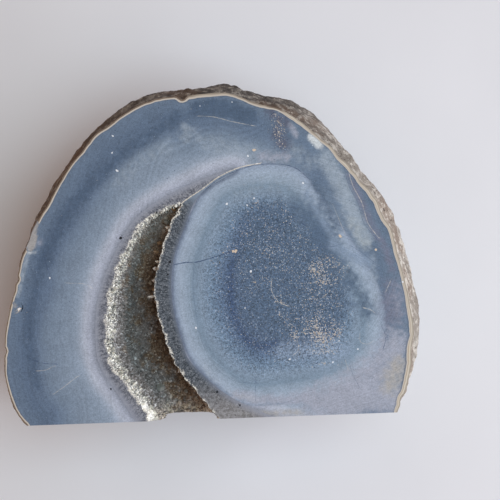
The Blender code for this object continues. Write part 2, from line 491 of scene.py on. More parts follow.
def sectionPoints(lengths, shares, form, grow=0.0):
    # points of a trough at lengths along the crescent and shares across it, both from 0 to 1
    left = curveThrough(pocket["left" + form], lengths)
    right = curveThrough(pocket["right" + form], lengths)
    across = right - left
    across /= np.linalg.norm(across, axis=1)[:, None]
    left, right = left - across * grow, right + across * grow
    depths, leans, benches = (
        curveThrough(pocket[form.lower() + part], lengths)[:, 0] for part in ("Depth", "Lean", "Bench")
    )
    turn = np.asarray(shares) * math.pi
    power = pocket["squareness"]
    spread = (0.5 - 0.5 * np.sign(np.cos(turn)) * np.abs(np.cos(turn)) ** power)[:, None]
    sink = np.maximum(np.sin(turn), 0.0)
    sink = np.where(sink < 1e-6, 0.0, sink) ** power
    depth = (depths + grow) * sink
    slope = np.minimum(1.0, depth / pocket["benchDepth"]) * np.maximum(0.0, 1.0 - 2.0 * np.asarray(shares))
    flat = left + (right - left) * spread + across * (leans * sink + benches * slope)[:, None]
    return np.column_stack([flat, faceZ - depth])


def troughPiece(name, columns, rows, form, rise, grow=0.0, topRows=2, rough=None):
    # a grid bent round the trough's wall, up by rise and back over its open top, closed at its ends
    loop = rows + topRows + (2 if rise else 0)
    piece = newGrid(name, columns, loop)
    spots = pointsOf(piece)
    lengths = (spots[:, 0] + 1) / 2
    steps = np.rint((spots[:, 1] + 1) / 2 * loop).astype(int) % loop
    wall = steps <= rows
    shares = np.where(wall, steps / rows, 0.0)
    placed = sectionPoints(lengths, shares, grow=grow, form=form)
    if rough:
        placed[wall] = rough(placed[wall])
    back = np.clip((steps - rows - (1 if rise else 0)) / topRows, 0.0, 1.0)[:, None]
    left = sectionPoints(lengths, np.zeros(len(lengths)), grow=grow, form=form)
    right = sectionPoints(lengths, np.ones(len(lengths)), grow=grow, form=form)
    over = right + (left - right) * back + np.array((0.0, 0.0, rise))
    placed[~wall] = over[~wall]
    placePoints(piece, placed * mm)
    bpy.ops.object.mode_set(mode="EDIT")
    bpy.ops.mesh.select_all(action="SELECT")
    bpy.ops.mesh.remove_doubles(threshold=pocket["merge"] * mm)
    bpy.ops.mesh.fill_holes(sides=0)
    bpy.ops.mesh.normals_make_consistent(inside=False)
    bpy.ops.object.mode_set(mode="OBJECT")
    return piece


def stoneWall(edges, ring):
    # points of the uncut nodule's wall on one ring, under the points of the face edge
    centre = np.array(stone["centre"])
    outward = edges - centre
    length = np.linalg.norm(outward, axis=1)[:, None]
    around = np.arctan2(outward[:, 1], outward[:, 0]) / math.tau % 1.0
    bulge = curveThrough(stone["bulge"], around, closed=True)
    widest = edges + outward / length * bulge
    least, more = stone["widestDepth"]
    widestDepth = least + more * bulge[:, 0]
    if ring <= stone["wallRings"]:
        step = ring / stone["wallRings"]
        flat = edges + (widest - edges) * math.sin(step * math.pi / 2)
        depth = widestDepth * step
    else:
        turn = (ring - stone["wallRings"]) / stone["backRings"] * math.pi / 2
        power = 2.0 / stone["backSquareness"]
        flat = centre + (widest - centre) * math.cos(turn) ** power
        deepest = faceZ + stone["backOverrun"]
        depth = widestDepth + (deepest - widestDepth) * math.sin(turn) ** power
    return np.column_stack([flat, faceZ - depth])


def rindRelief(point):
    depth = faceZ - point.z
    fade = min(1.0, depth / stone["lumpsFullDepth"])
    point = point + Vector(stone["reliefOffset"])
    lumps = sum(noise.noise(point / size) * height for size, height in stone["lumps"])
    spread, spacing, height, sharpness = stone["ledges"]
    layer = Vector((point.x / spread, point.y / spread, point.z / spacing))
    ledge = min(1.0, max(-1.0, noise.noise(layer) * sharpness))
    pitSpacing, pitDepth, pitRadius = stone["pits"]
    distance = noise.voronoi(point / pitSpacing)[0][0]
    pit = max(0.0, 1.0 - distance / pitRadius)
    rimRelief, rimFine = stone["rimRelief"], stone["rimFine"]
    coarse = (lumps + height * ledge - pitDepth * pit) * (rimRelief + (1 - rimRelief) * fade)
    fine = sum(noise.noise(point / size) * height for size, height in stone["fineLumps"])
    return coarse + fine * (rimFine + (1 - rimFine) * min(1.0, depth / stone["fineFullDepth"]))


def buildStone():
    segments, faceRings = stone["segments"], stone["faceRings"]
    rings = faceRings + stone["wallRings"] + stone["backRings"]
    clearSelection()
    bpy.ops.mesh.primitive_uv_sphere_add(segments=segments, ring_count=rings, radius=1.0)
    piece = bpy.context.object
    piece.name = "agateStone"
    piece.data.materials.append(sawnMaterial())
    piece.data.materials.append(rindMaterial())
    ball = pointsOf(piece)
    polar = np.arctan2(np.hypot(ball[:, 0], ball[:, 1]), ball[:, 2])
    ring = np.rint(polar / math.pi * rings).astype(int)
    segment = np.rint(np.arctan2(ball[:, 1], ball[:, 0]) / math.tau * segments).astype(int) % segments

    # the sphere's top cap is laid flat as the face, and the rest becomes the wall and the back
    edges = curveThrough(stone["faceEdge"], 1.0 - np.arange(segments) / segments, closed=True)
    middle = Vector((*stone["centre"], faceZ / 2))
    shell = {}
    for level in range(stone["wallRings"] + stone["backRings"] + 1):
        loop = stoneWall(edges, level)
        for i, spot in enumerate(loop):
            point = Vector(spot)
            outward = point - middle
            if level == 0:
                outward.z = 0.0
            point += outward.normalized() * rindRelief(point)
            point.z = faceZ if level == 0 else min(max(point.z, 0.0), faceZ - stone["ringDrop"] * level)
            loop[i] = point
        shell[level] = loop
    centre = np.array((*stone["centre"], faceZ))
    placed = np.empty_like(ball)
    for level in range(rings + 1):
        on = ring == level
        if level <= faceRings:
            placed[on] = centre + (shell[0][segment[on]] - centre) * (level / faceRings)
        else:
            placed[on] = shell[level - faceRings][segment[on]]
    for (x, y), radius, depth in stone["nicks"]:
        spot = facePoint(x, y)
        away = np.hypot(placed[:, 0] - spot.x, placed[:, 1] - spot.y) / radius
        near = (away < 1.0) & (placed[:, 2] > faceZ - stone["nickReach"])
        inward = np.array(stone["centre"]) - np.array(spot)
        inward /= np.linalg.norm(inward)
        placed[near, :2] += inward * (depth * (1.0 - away[near] ** 2))[:, None]
    placePoints(piece, placed * mm)

    for face in piece.data.polygons:
        face.material_index = 0 if all(ring[corner] <= faceRings for corner in face.vertices) else 1
    sawBase(piece)
    for face in piece.data.polygons:
        if all(piece.data.vertices[corner].co.y < (baseY + onPlane) * mm for corner in face.vertices):
            face.material_index = 0
    rindTree = treeOf(piece, lambda face: face.material_index == 1)
    cutAway(piece, troughPiece("pocketCut", *pocket["net"], "Out", pocket["clear"], pocket["gap"]))
    netSawnBase(piece, stone["baseNet"])
    return piece, rindTree


# Pattern on the stone's cut faces, placed by photo pixels

lobeEdge = [
    (262, 163.5), (281, 164.5), (300, 170), (316, 188), (334, 214), (352, 240), (370, 268),
    (383, 298), (386, 326), (378, 358), (354, 384), (322, 398), (292, 403), (268, 405.5),
    (252, 405.5), (232, 400), (213, 387), (197, 370), (183, 345), (174, 315), (171.5, 290),
    (173, 262), (180, 238), (191, 212), (203, 190), (218, 176), (240, 167),
]

# The soft shades that are laid over the banding, as the photograph shows them
shades = {
    "core": (80, 97, 120),
    "mist": (146, 158, 172),
    "sky": (127, 143, 165),
    "slate": (76, 92, 114),
    "mauve": (110, 114, 134),
    "lilac": (156, 160, 175),
    "sand": (163, 160, 158),
    "jade": (152, 161, 168),
    "milk": (198, 204, 208),
    "facet": (156, 154, 154),
    "dusk": (84, 86, 104),
    "navy": (58, 76, 108),
}

# Soft marks of each shade: half width, softness and strength, and the path that each follows
marks = {
    "core": [
        (30, 20, 1.0, [(268, 248), (310, 262), (318, 300), (282, 306), (268, 262)]),
        (16, 16, 0.8, [(262, 215), (305, 212), (325, 250)]),
    ],
    "slate": [
        (8, 8, 0.7, [(178, 117), (152, 135), (124, 154), (98, 179), (74, 206), (55, 236), (46, 258)]),
        (6, 8, 0.6, [(42, 262), (33, 300), (30, 345), (38, 385)]),
        (9, 5, 0.85, [(198, 109), (225, 108), (249, 117)]),
        (7, 8, 0.15, [(300, 152), (314, 168), (322, 186)]),
        (5, 6, 0.35, [(354, 172), (372, 200), (387, 235), (396, 268)]),
        (9, 8, 0.6, [(350, 276), (361, 292), (367, 312)]),
        (4, 6, 0.6, [(314, 182), (326, 206), (338, 232)]),
    ],
    "mist": [
        (9, 7, 0.45, [(187, 134), (218, 146), (250, 153)]),
        (9, 7, 0.35, [(120, 180), (140, 160), (172, 146)]),
        (3, 2.5, 0.5, [(183, 124), (188, 132), (186, 140)]),
        (8, 8, 0.5, [(294, 150), (310, 162)]),
        (9, 7, 0.8, [(326, 158), (340, 184), (351, 208), (364, 238)]),
        (4, 5, 0.5, [(372, 258), (374, 280), (376, 306)]),
        (3.2, 1.6, 0.6, [(27, 256), (22, 276), (17, 296)]),
    ],
    "lilac": [
        (5, 6, 0.6, [(262, 157), (286, 157)]),
        (3, 3, 0.7, [(290, 125), (296, 135)]),
        (8, 12, 0.35, [(396, 290), (400, 314)]),
        (14, 10, 0.85, [(340, 404), (372, 398), (398, 400)]),
        (18, 15, 0.8, [(394, 348), (382, 364), (352, 388), (318, 403)]),
        (5, 6, 0.8, [(236, 395), (268, 400), (312, 397)]),
        (3, 4, 0.5, [(26, 244), (40, 242)]),
    ],
    "dusk": [
        (7, 6, 0.6, [(272, 112), (284, 124), (276, 132), (285, 146)]),
    ],
    "navy": [
        (2.5, 4, 0.45, [
            (232, 262), (231, 290), (233, 314), (239, 331), (250, 342), (264, 345), (277, 341),
        ]),
    ],
    "jade": [
        (6, 5, 0.5, [(352, 222), (366, 244)]),
        (11, 11, 0.2, [(238, 196), (262, 184), (290, 190)]),
    ],
    "mauve": [
        (4, 4, 0.7, [(350, 176), (360, 198), (370, 222), (384, 246), (392, 268)]),
        (9, 12, 0.7, [(392, 285), (396, 312)]),
        (10, 8, 0.35, [(385, 305), (388, 322)]),
    ],
    "milk": [
        (3, 5, 0.2, [(204, 366), (214, 379), (232, 393), (256, 399)]),
        (4.5, 2.2, 0.95, [(312, 137), (319, 144)]),
        (1.2, 0.8, 0.75, [(26, 251.5), (36, 252.5)]),
    ],
    "sky": [
        (6, 6, 0.75, [(334, 246), (352, 256), (368, 262)]),
        (3, 4, 0.6, [(306, 192), (322, 220), (334, 240)]),
        (10, 12, 0.75, [(285, 352), (340, 350)]),
    ],
    "sand": [
        (9, 11, 0.8, [(398, 366), (390, 386)]),
        (3, 5, 0.7, [(222, 415), (262, 414), (300, 413)]),
    ],
    "facet": [
        (2.6, 1.2, 0.95, [(36, 224), (34, 233)]),
        (4.6, 1.2, 0.95, [(33, 237), (30.5, 246.5)]),
        (2.4, 1.0, 0.6, [(14, 304), (17, 311)]),
    ],
    # how densely cream specks lie
    "speck": [
        (8, 6, 1.0, [(318, 270), (330, 262), (343, 268)]),
        (4, 5, 0.8, [(322, 281), (338, 280)]),
        (8, 6, 0.95, [(314, 326), (322, 338), (334, 330)]),
        (2, 4, 0.8, [(281, 316), (290, 326), (294, 338)]),
        (1.5, 4, 0.8, [(276, 300), (289, 306)]),
        (1, 3, 0.8, [(251, 271), (255, 283), (263, 297)]),
        (1.5, 3, 0.9, [(313, 367), (326, 363), (348, 366)]),
        (1, 5, 0.6, [(246, 192), (256, 205), (247, 214)]),
        (1.5, 2.5, 0.9, [(298, 345), (299, 356), (293, 362)]),
        (7, 6, 0.85, [(276, 118), (280, 144)]),
        (2, 3, 0.8, [(336, 236), (342, 238)]),
        (2, 2, 0.9, [(312, 352), (336, 352)]),
        (30, 22, 0.34, [(272, 235), (312, 270), (318, 318)]),
    ],
    # how wide the cream and rust layers inside the rind are
    "layer": [
        (6, 8, 0.3, [(196, 94), (240, 92), (262, 101)]),
        (6, 7, 1.0, [(292, 112), (325, 132), (348, 160)]),
        (6, 8, 0.7, [(352, 164), (376, 198), (397, 240), (410, 290), (413, 330)]),
        (6, 8, 0.8, [(408, 345), (405, 385), (402, 408)]),
    ],
}

# Thin lines, dark and pale, each with its strength
darkLines = [
    (0.95, [(175, 264.5), (186, 262.5), (197, 262), (210, 258.5), (222, 254.5), (233, 251.5)]),
    (0.40, [(194, 267), (193, 288), (195, 306), (200, 335), (212, 362), (232, 380), (262, 384)]),
    (0.75, [
        (205, 190), (216, 181), (228, 174.5), (240, 169.5), (251, 166),
        (260, 164.5), (272, 164), (286, 165), (298, 169.5), (309, 179),
    ]),
    (0.45, [(232, 262), (231, 290), (233, 314), (239, 333)]),
    (0.85, [(244, 339), (252, 344.5), (264, 346.5), (276, 342)]),
    (0.75, [(268.5, 243), (271, 233), (279, 226), (288, 222.5), (298, 221), (305, 225.5)]),
    (0.50, [(319, 246.5), (333, 246.5), (344, 243)]),
    (0.50, [(349, 245), (361, 252), (374, 262)]),
    (0.70, [(30, 359), (43, 363), (57, 364)]),
    (0.60, [(44, 255), (47, 267), (51, 278)]),
    (0.55, [(256, 377), (255.5, 392), (256, 406)]),
    (0.65, [(384, 330), (385.5, 340), (383, 349)]),
    (0.35, [(276, 404), (285, 402.5), (295, 400)]),
    (0.45, [(386, 312), (381, 322), (384, 332), (388, 336)]),
    (0.40, [(154, 198), (170, 190), (190, 184)]),
    (0.50, [(350, 366), (354, 377), (360, 388)]),
    (0.55, [(344, 168), (349, 186), (358, 203), (364, 223), (377, 239)]),
]
paleLines = [
    (1.00, [
        (182, 203), (190, 197), (203, 188.5), (214, 180), (225, 173.5), (238, 168), (250, 165), (260, 163.5),
    ]),
    (0.60, [(272, 280), (271, 287), (273, 294), (279, 302), (288, 306)]),
    (0.60, [(364, 308), (369, 309), (374, 312)]),
    (0.55, [(391, 280), (386, 291)]),
    (0.55, [(198, 116), (214, 117), (232, 121.5), (255, 126)]),
    (0.35, [(311.5, 334), (312.5, 349), (324, 351), (335, 350)]),
    (0.45, [(360, 333), (360.5, 342), (368, 344), (373, 341)]),
    (0.45, [(294, 333), (298, 343), (297.5, 351), (293, 355)]),
    (0.50, [(345.5, 361), (348, 369)]),
    (0.50, [(37, 371), (46, 370), (54, 366)]),
    (0.45, [(54, 394), (65, 386), (78, 376)]),
    (0.55, [(348, 169), (353, 186), (362, 203), (368, 223), (379, 238)]),
    (0.40, [(66, 283), (84, 284), (92, 288)]),
    (0.40, [(333, 205), (340, 222), (346, 236)]),
]

# Small spots on the face: colour, and places with their radius in millimetres
faceSpots = {
    "dark": ((34, 36, 42), [
        (170, 262, 0.4), (168, 274.5, 0.28), (217, 392, 0.33), (240, 405, 0.3), (121, 238, 0.45),
        (111, 389, 0.3),
    ]),
    "cream": ((206, 188, 168), [
        (233.5, 251, 0.38), (235.5, 251.6, 0.42), (340, 236, 0.4), (376, 249.5, 0.3), (254, 150, 0.35),
        (19, 309, 0.4),
    ]),
    "white": ((222, 226, 232), [
        (247, 205, 0.22), (254, 198, 0.24), (227, 204, 0.26), (257, 163.5, 0.2), (248, 156, 0.26),
        (245, 308, 0.2), (290, 359, 0.24), (339, 341, 0.2), (358, 349, 0.22), (333, 362, 0.24),
        (196, 328, 0.26), (117, 171, 0.24), (112, 153, 0.2), (113, 136, 0.2), (251, 271, 0.3),
        (232, 102, 0.18), (200, 106, 0.18), (403, 282, 0.24), (50, 278, 0.22), (19, 309, 0.26),
        (303, 183, 0.2),
    ]),
}

pattern = {
    "lobePoints": 240,  # points along the lobe's outline
    "lobeLean": 0.2,  # how much narrower the lobe is for each millimetre of depth
    "markDepth": 12.0,  # soft marks fade out over this depth
    "lineReach": 5.0,  # lines are known to this distance
}


def pathDistance(flat, path):
    # distances in pixels to a smooth path, and the same with a sign by the side of it
    points = curveThrough(path, np.linspace(0.0, 1.0, 6 * (len(path) - 1) + 1))
    nearest, signed = np.full(len(flat), 1e6), np.full(len(flat), 1e6)
    for start, end in zip(points, points[1:]):
        side = end - start
        away = flat - start
        along = np.clip(away @ side / (side @ side), 0.0, 1.0)
        distance = np.linalg.norm(away - along[:, None] * side, axis=1)
        closer = distance < nearest
        sign = np.where(side[0] * away[:, 1] > side[1] * away[:, 0], 1.0, -1.0)
        nearest = np.where(closer, distance, nearest)
        signed = np.where(closer, distance * sign, signed)
    return nearest, signed


def signedDistance(spots, outline):
    # distance to a closed outline, more than 0 inside
    starts, ends = outline, np.roll(outline, -1, axis=0)
    nearest = np.full(len(spots), 1e9)
    inside = np.zeros(len(spots), bool)
    for start, end in zip(starts, ends):
        side = end - start
        along = np.clip((spots - start) @ side / (side @ side), 0.0, 1.0)
        nearest = np.minimum(nearest, np.linalg.norm(spots - start - along[:, None] * side, axis=1))
        crosses = (start[1] > spots[:, 1]) != (end[1] > spots[:, 1])
        slope = side[0] / (side[1] or 1e-9)
        inside ^= crosses & (spots[:, 0] < start[0] + (spots[:, 1] - start[1]) * slope)
    return np.where(inside, nearest, -nearest)


def lineValues(piece, name, flat, lines):
    # a line is where the signed distance passes 0 while the plain one is small
    nearest, signed = np.full(len(flat), 1e6), np.full(len(flat), 1e6)
    weight = np.zeros(len(flat))
    for strength, path in lines:
        plain, sided = pathDistance(flat, path)
        closer = plain < nearest
        nearest, signed = np.where(closer, plain, nearest), np.where(closer, sided, signed)
        weight = np.where(closer, strength, weight)
    keepValues(piece, name + "Weight", weight)
    reach = pattern["lineReach"]
    keepValues(piece, name + "Side", np.clip(signed * photo["mmPerPixel"], -reach, reach))
    keepValues(piece, name + "Near", np.minimum(nearest * photo["mmPerPixel"], reach))


def patternValues(piece, rindTree):
    points = pointsOf(piece) / mm
    flat = photoPlaces(points)
    depth = np.maximum(faceZ - points[:, 2], 0.0)
    keepValues(piece, "rimDist", distancesTo(rindTree, points))
    lining = troughPiece("crustOuter", *pocket["net"], "Out", 0.0)
    keepValues(piece, "pocketDist", distancesTo(treeOf(lining), points))
    bpy.data.objects.remove(lining)
    outline = curveThrough(lobeEdge, np.arange(pattern["lobePoints"]) / pattern["lobePoints"], closed=True)
    lobe = signedDistance(flat, outline) * photo["mmPerPixel"]
    keepValues(piece, "lobeDist", lobe - pattern["lobeLean"] * depth)
    fade = np.exp(-depth / pattern["markDepth"])
    for shade, group in marks.items():
        cover = 0.0
        for half, soft, strength, path in group:
            near, _ = pathDistance(flat, path)
            part = np.clip((half + soft - near) / (2 * soft), 0.0, 1.0)
            part = strength * fade * part * part * (3 - 2 * part)
            cover = 1 - (1 - cover) * (1 - part)
        keepValues(piece, shade + "Cover", cover)
    lineValues(piece, "darkLine", flat, darkLines)
    lineValues(piece, "paleLine", flat, paleLines)
    keepValues(piece, "depth", depth)


def spotMask(link, x, y, radius, uneven):
    place = facePoint(x, y)
    distance = link.node(
        "ShaderNodeVectorMath", {"operation": "DISTANCE"},
        {0: places(link), 1: (place.x * mm, place.y * mm, faceZ * mm)}, "Value",
    )
    return (distance * uneven).rise(radius * mm, 0.7 * radius * mm)


def drawSpots(link, colour, kinds, uneven):
    for kind in kinds:
        seen, group = faceSpots[kind]
        for x, y, radius in group:
            colour = spotMask(link, x, y, radius, uneven).over(colour, *seen)
    return colour


def drawLines(link, colour, quick, mottle):
    # strong lines are wider, and weak ones break up
    for name, seen, strength in (("darkLine", (58, 74, 104), 0.75), ("paleLine", (204, 198, 188), 0.85)):
        side, close, weight = (valueOf(link, name + part) for part in ("Side", "Near", "Weight"))
        width = 0.06 + weight * 0.14 + quick * 0.24
        line = (side + quick * 0.15).line(0.0, width) * close.rise(0.8, 0.3) * weight
        colour = (line * (strength + mottle * 2.5)).rise(0.0, 1.0).over(colour, *seen)
    return colour


def sawnMaterial():
    material, shader, link = newMaterial("sawnAgate", 0.42, 0.35)
    rim, near, lobe = (valueOf(link, name) for name in ("rimDist", "pocketDist", "lobeDist"))
    slow, quick = grain(link, 9.0, 3.0) - 0.5, grain(link, 1.3, 4.0) - 0.5
    fine = grain(link, 0.33, 2.0) - 0.5
    rimPlace = rim + slow * 3.0 + quick * 0.7
    body = rimPlace.ramp(24.0, [
        (0.0, (103, 118, 138)), (2.5, (99, 115, 136)), (5.0, (92, 108, 130)),
        (8.0, (99, 115, 137)), (11.0, (116, 131, 150)), (15.0, (129, 143, 161)),
        (20.0, (136, 150, 168)), (24.0, (140, 153, 172)),
    ])
    pocketPlace = near + slow * 1.6 + quick * 0.3
    pale = pocketPlace.ramp(8.0, [
        (0.0, (134, 139, 152)), (0.6, (148, 154, 169)), (1.4, (165, 171, 187)),
        (2.6, (168, 175, 190)), (4.5, (150, 162, 179)), (8.0, (140, 154, 172)),
    ])
    colour = pocketPlace.rise(6.5, 2.5).mix(body, pale)
    ringPlace = lobe + slow * 0.9 + quick * 0.35
    rings = ringPlace.ramp(24.0, [
        (0.0, (122, 134, 154)), (0.7, (143, 157, 177)), (2.2, (152, 166, 184)),
        (4.4, (136, 152, 170)), (5.3, (121, 139, 158)), (7.5, (125, 142, 162)),
        (10.0, (108, 128, 151)), (12.8, (88, 106, 132)), (14.6, (70, 86, 114)),
        (16.6, (82, 98, 122)), (24.0, (88, 103, 126)),
    ])
    colour = lobe.rise(-0.3, 0.3).mix(colour, rings)
    # the lobe darkens towards the quartz
    upper = upOf(link).rise(-39.0 * mm, -30.0 * mm)
    shadow = (near + quick * 0.9).rise(1.3, 0.0) * lobe.rise(-0.6, 0.4) * (0.2 + upper * 0.65)
    colour = shadow.over(colour, 96, 106, 126)
    for shade, seen in shades.items():
        cover = valueOf(link, shade + "Cover")
        cover = cover + cover * (1.0 - cover) * (quick * 4.5 + slow * 1.5)
        colour = cover.rise(0.0, 1.0).over(colour, *seen)

    # fine growth lines follow the rim, the crust and the lobe, and grains and mottling lie over all
    banding = link.node(
        "ShaderNodeTexNoise", {"noise_dimensions": "1D"},
        {"W": rim * 0.9 + near * 1.1 + lobe, "Scale": 1.6, "Detail": 3.0},
    )
    core = lobe.rise(5.0, 11.0)
    cloud, mottle = grain(link, 3.2, 4.0) - 0.5, grain(link, 0.8, 3.0) - 0.5
    lit = 1.0 + (banding - 0.5) * 0.34 + cloud * 0.36
    lit = lit + mottle * (0.4 + core * 1.1) + fine * (0.8 + core * 1.9)
    lit = link.node("ShaderNodeCombineColor", {}, {0: lit, 1: lit, 2: lit})
    colour = link.node(
        "ShaderNodeMix", {"data_type": "RGBA", "blend_type": "MULTIPLY"}, {0: 1.0, 6: colour, 7: lit}, 2,
    )
    colour = drawLines(link, colour, quick, mottle)

    # grit: size, colour, how high the noise must be for it, less where specks lie densely, and strength
    speck, dusk = valueOf(link, "speckCover"), valueOf(link, "duskCover")
    dense = speck + dusk * 0.6 + (cloud * 1.6 + mottle * 0.8) * core
    for index, (size, seen, least, less, strength) in enumerate((
        (0.48, (44, 56, 84), 0.76, 0.08, 0.7), (0.34, (200, 191, 180), 0.79, 0.15, 0.8),
        (0.60, (184, 171, 156), 0.86, 0.18, 0.7), (0.30, (184, 196, 212), 0.765, 0.05, 0.75),
    )):
        grit = grain(link, size, 1.0, (0.1 * index, 0.0, 0.2 * index))
        there = (grit + dense * less + core * 0.085 - least).rise(0.0, 0.04)
        colour = (there * strength).over(colour, *seen)
    colour = (specks(link, 2.2, 0.02, 0.09) * 0.8).over(colour, 208, 216, 226)

    layer, facet = valueOf(link, "layerCover"), valueOf(link, "facetCover")
    edge = rim / (0.60 + layer * 0.7 + slow * 0.9) + quick * 0.3 + facet.rise(0.3, 0.5) * 2.0
    colour = (edge.rise(1.6, 1.1) * (0.3 + layer * 0.5)).over(colour, 70, 80, 98)
    colour = edge.rise(1.08, 0.96).over(colour, 192, 184, 174)
    colour = (edge.rise(0.56, 0.40) * (1.0 - layer)).over(colour, 116, 98, 84)
    colour = (edge.rise(0.84, 0.72) * layer).over(colour, 166, 144, 118)
    colour = (edge.rise(0.64, 0.52) * layer).over(colour, 212, 206, 194)
    colour = (edge.rise(0.30, 0.20) * (0.4 + layer * 0.3)).over(colour, 126, 114, 100)
    colour = drawSpots(link, colour, faceSpots, 1.0 + mottle * 3.0)
    plug(link, shader, "Base Color", colour)
    plug(link, shader, "Roughness", 0.42 + fine * 0.25 + quick * 0.15)
    plug(link, shader, "Normal", bumped(link, grain(link, 0.5, 3.0), 0.12, 0.1))
    return material


def rindMaterial():
    # dark grey-brown over the crown, brown to the left, pale and creamy to the right
    material, shader, link = newMaterial("agateRind", 0.8, 0.3)
    coarse, mid, fine = grain(link, 6.0, 4.0), grain(link, 1.6, 4.0), grain(link, 0.5, 3.0)
    across = acrossOf(link)
    left, right = across.rise(-5.0 * mm, -40.0 * mm), across.rise(14.0 * mm, 44.0 * mm)
    colour = right.mix(left.mix(tint(101, 97, 94), tint(126, 114, 104)), tint(164, 158, 150))
    dark = right.mix(left.mix(tint(70, 66, 63), tint(98, 84, 74)), tint(132, 125, 117))
    pale = right.mix(tint(142, 137, 130), tint(190, 185, 176))
    colour = (coarse * 0.5 + mid * 0.5).rise(0.58, 0.43).mix(colour, dark)
    colour = (grain(link, 13.0, 3.0).rise(0.50, 0.62) * 0.3).over(colour, 116, 88, 66)
    colour = ((mid + (coarse - 0.5) * 0.6).rise(0.54, 0.67) * 0.7).mix(colour, pale)
    colour = (fine.rise(0.59, 0.68) * mid.rise(0.45, 0.58) * 0.7).over(colour, 188, 180, 168)
    colour = (fine.rise(0.41, 0.33) * 0.75).over(colour, 54, 48, 44)
    colour = (specks(link, 1.8, 0.07, 0.24) * 0.8).over(colour, 214, 208, 198)
    colour = (specks(link, 2.6, 0.14, 0.26) * 0.8).over(colour, 46, 41, 38)
    depth = valueOf(link, "depth") + (coarse - 0.5) * 5.0
    chipped = valueOf(link, "facetCover").rise(0.0, 0.5) * depth.rise(2.6, 0.6)
    colour = (chipped + (mid - 0.5) * 1.2).rise(0.4, 0.6).over(colour, 150, 149, 152)
    plug(link, shader, "Base Color", colour)
    plug(link, shader, "Roughness", 0.7 + fine * 0.25)
    plug(link, shader, "Normal", bumped(link, mid * 0.6 + fine * 0.4, 0.9, 0.7))
    return material


# Crystal crust

crust = {
    # points along and across the crust's wall and the hollow's, rows over the top, and spacing on the base
    "wallNet": (160, 36),
    "hollowNet": (260, 70),
    "topRows": 24,
    "baseNet": 0.6,
    "alongPoints": 400,  # points along the whole crust, and along each rim of the hollow
    "rimPoints": 200,
    "skin": 0.05,  # faces this near to the hollow's wall are druse, not section
    # lumps of the hollow's wall: strength along each axis, and size and height of each layer
    "roughness": (0.5, 0.3, 0.6),
    "roughLumps": [(2.2, 1.0), (0.9, 0.6)],
    "roughShift": 9.0,
    # one crystal: sides, the shaft's share of its height, and its least width across
    "sides": 6,
    "shaft": 0.55,
    "flatness": 0.7,
    "standOut": 0.02,  # how far crystals may pass the cut faces
    "tries": 5,  # places tried for each crystal that is wanted
    # the beds of crystals: how many, over which share of the wall from left to right,
    # radius and height in millimetres, how far they lean, and how deep they sit
    "beds": {
        "benchCrystals": {
            "seed": 11, "count": 4200, "span": (0.0, 0.30), "radius": (0.12, 0.24), "stretch": (3.2, 5.6),
            "large": 0.02, "largeRadius": (0.3, 0.42), "tilt": 0.42, "sunk": 0.35,
        },
        "floorCrystals": {
            "seed": 12, "count": 6400, "span": (0.24, 0.86), "radius": (0.18, 0.38), "stretch": (0.9, 1.5),
            "large": 0.08, "largeRadius": (0.45, 0.8), "tilt": 0.5, "sunk": 0.5,
        },
        "rimCrystals": {
            "seed": 13, "count": 1500, "span": (0.80, 1.0), "radius": (0.16, 0.34), "stretch": (1.3, 2.4),
            "large": 0.02, "largeRadius": (0.4, 0.5), "tilt": 0.4, "sunk": 0.4,
        },
    },
    "singleLift": 0.6,  # how far the single crystals turn up towards the face
    "singleSunk": 0.3,
    # single crystals that stand out: photo pixel, share across the wall, radius, height,
    # and tone from 0, brown, to 1, white
    "showpieces": [
        ((152, 297), 0.96, 0.36, 2.3, 0.95), ((154, 290), 0.93, 0.6, 1.6, 0.2),
        ((173, 208), 0.8, 0.7, 1.6, 0.12), ((156, 394), 0.42, 1.15, 2.4, 0.62),
        ((120, 326), 0.3, 0.7, 1.5, 0.75), ((146, 247), 0.52, 0.7, 1.4, 0.6),
        ((152, 232), 0.6, 0.6, 1.3, 0.4), ((166, 222), 0.74, 0.7, 1.8, 0.5),
        ((158, 243), 0.78, 0.5, 1.4, 0.2), ((168, 228), 0.92, 0.45, 1.5, 1.0),
        ((157, 262), 0.92, 0.4, 1.4, 1.0), ((161, 320), 0.96, 0.4, 1.6, 1.0),
        ((155, 252), 0.9, 0.5, 1.4, 0.25), ((176, 215), 0.86, 0.5, 1.5, 0.3),
        ((180, 372), 0.95, 0.45, 1.6, 0.9), ((155, 269), 0.97, 0.5, 1.3, 0.9),
        ((154, 281), 0.97, 0.45, 1.2, 0.9), ((158, 307), 0.97, 0.45, 1.2, 0.95),
        ((163, 321), 0.97, 0.5, 1.2, 0.9), ((167, 337), 0.97, 0.45, 1.2, 0.9),
        ((175, 362), 0.97, 0.5, 1.2, 0.7), ((183, 374), 0.97, 0.6, 1.3, 0.85),
        ((207, 402), 0.97, 0.5, 1.2, 0.7), ((149, 312), 0.7, 0.6, 1.1, 0.35),
        ((134, 348), 0.45, 0.6, 1.1, 0.45), ((184, 398), 0.55, 0.8, 1.7, 0.55),
    ],
}


def roughWall(spots):
    # small lumps over the druse wall
    moved = spots.copy()
    for i, spot in enumerate(spots):
        point = Vector(spot)
        for axis, strength in enumerate(crust["roughness"]):
            shift = Vector((crust["roughShift"] * axis, 0.0, 0.0))
            lump = sum(noise.noise(point / size + shift) * height for size, height in crust["roughLumps"])
            moved[i, axis] += strength * lump
    return moved


